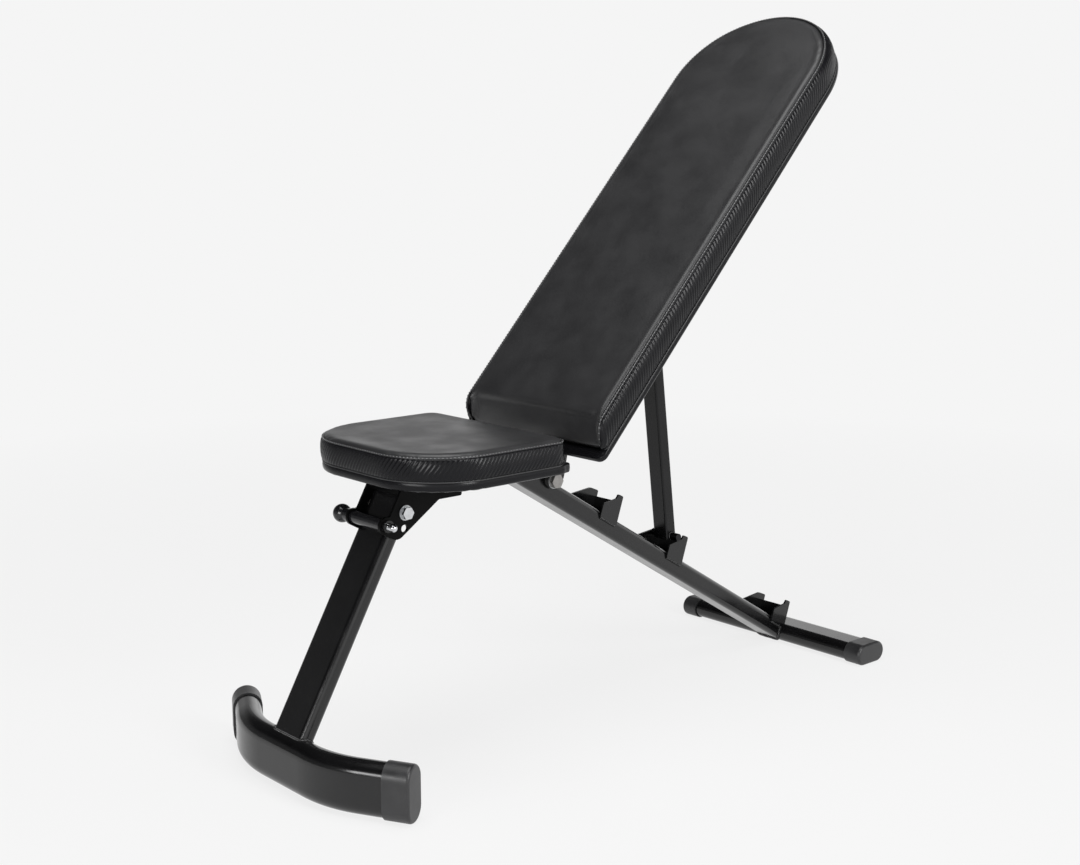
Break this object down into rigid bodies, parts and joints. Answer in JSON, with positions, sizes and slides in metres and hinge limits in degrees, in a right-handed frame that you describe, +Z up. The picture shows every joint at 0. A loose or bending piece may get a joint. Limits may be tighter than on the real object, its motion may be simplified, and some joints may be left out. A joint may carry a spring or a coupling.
{
  "type": "adjustable weight bench",
  "caption": "Folding adjustable weight bench: sloping spine tube, padded seat, reclining back held by a drop-in strut, folding front leg with pull pin.",
  "frame": {"origin": "on the floor in the middle of the footprint", "axes": "+X across the bench to its right, +Y along it to the rear foot, +Z up"},
  "size_m": [0.3994, 1.003, 0.9983],
  "materials": {
    "frame_paint": "gloss black powder coat",
    "bar_steel": "gloss black, worn bright at the ends",
    "cap_plastic": "satin black moulding",
    "knob_plastic": "satin black moulding",
    "chrome": "bright chrome",
    "zinc": "bright zinc plate",
    "bush_steel": "turned steel",
    "board_cover": "black vinyl wrapped over board",
    "vinyl": "black upholstery vinyl, satin"
  },
  "bodies": {
    "frame": {"spine_tube": "frame_paint", "rear_foot_tube": "frame_paint", "rear_foot_cap_left": "cap_plastic", "rear_foot_cap_right": "cap_plastic", "leg_bracket": "frame_paint", "pin_boss": "frame_paint", "leg_pivot_bolt": "zinc", "leg_pivot_nut": "zinc", "catch_bracket_upright": "frame_paint", "catch_bracket_incline": "frame_paint", "catch_bracket_flat": "frame_paint", "hinge_sleeve": "frame_paint", "seat_plate": "frame_paint", "seat_screws": "zinc", "seat_board": "board_cover", "seat_cushion": "vinyl"},
    "front_leg": {"front_leg_tube": "frame_paint", "leg_pivot_bush": "bush_steel", "front_foot_tube": "frame_paint", "front_foot_cap_left": "cap_plastic", "front_foot_cap_right": "cap_plastic"},
    "locking_pin": {"locking_pin": "chrome", "pin_grip_sleeve": "knob_plastic", "pin_knob": "knob_plastic"},
    "backrest": {"back_board": "board_cover", "back_cushion": "vinyl", "back_hinge_arm_left": "frame_paint", "back_hinge_arm_right": "frame_paint", "back_hinge_bolt": "zinc", "back_hinge_nut": "zinc", "hinge_arm_screws": "zinc", "strut_bracket": "frame_paint", "strut_bracket_screws": "zinc", "strut_bolt": "zinc", "strut_nut": "zinc"},
    "strut": {"strut_tube": "frame_paint", "strut_bush": "bush_steel", "strut_cross_bar": "bar_steel"}
  },
  "joints": [
    {"name": "back_recline", "type": "hinge", "parent": "frame", "child": "backrest", "pos_m": [0, -0.06076, 0.34375], "axis": [1, 0, 0], "range_deg": [0, 36]},
    {"name": "strut_swing", "type": "hinge", "parent": "backrest", "child": "strut", "pos_m": [0, 0.14809, 0.5919], "axis": [1, 0, 0], "range_deg": [-26.5, 0.5]},
    {"name": "leg_fold", "type": "hinge", "parent": "frame", "child": "front_leg", "pos_m": [0, -0.32326, 0.34], "axis": [1, 0, 0], "range_deg": [0, 98]},
    {"name": "pin_pull", "type": "slide", "parent": "frame", "child": "locking_pin", "axis": [-1, 0, 0], "range_m": [0, 0.08]}
  ],
  "couplings": [
    {"joint": "strut_swing", "follows": "back_recline", "ratio": -0.72}
  ]
}
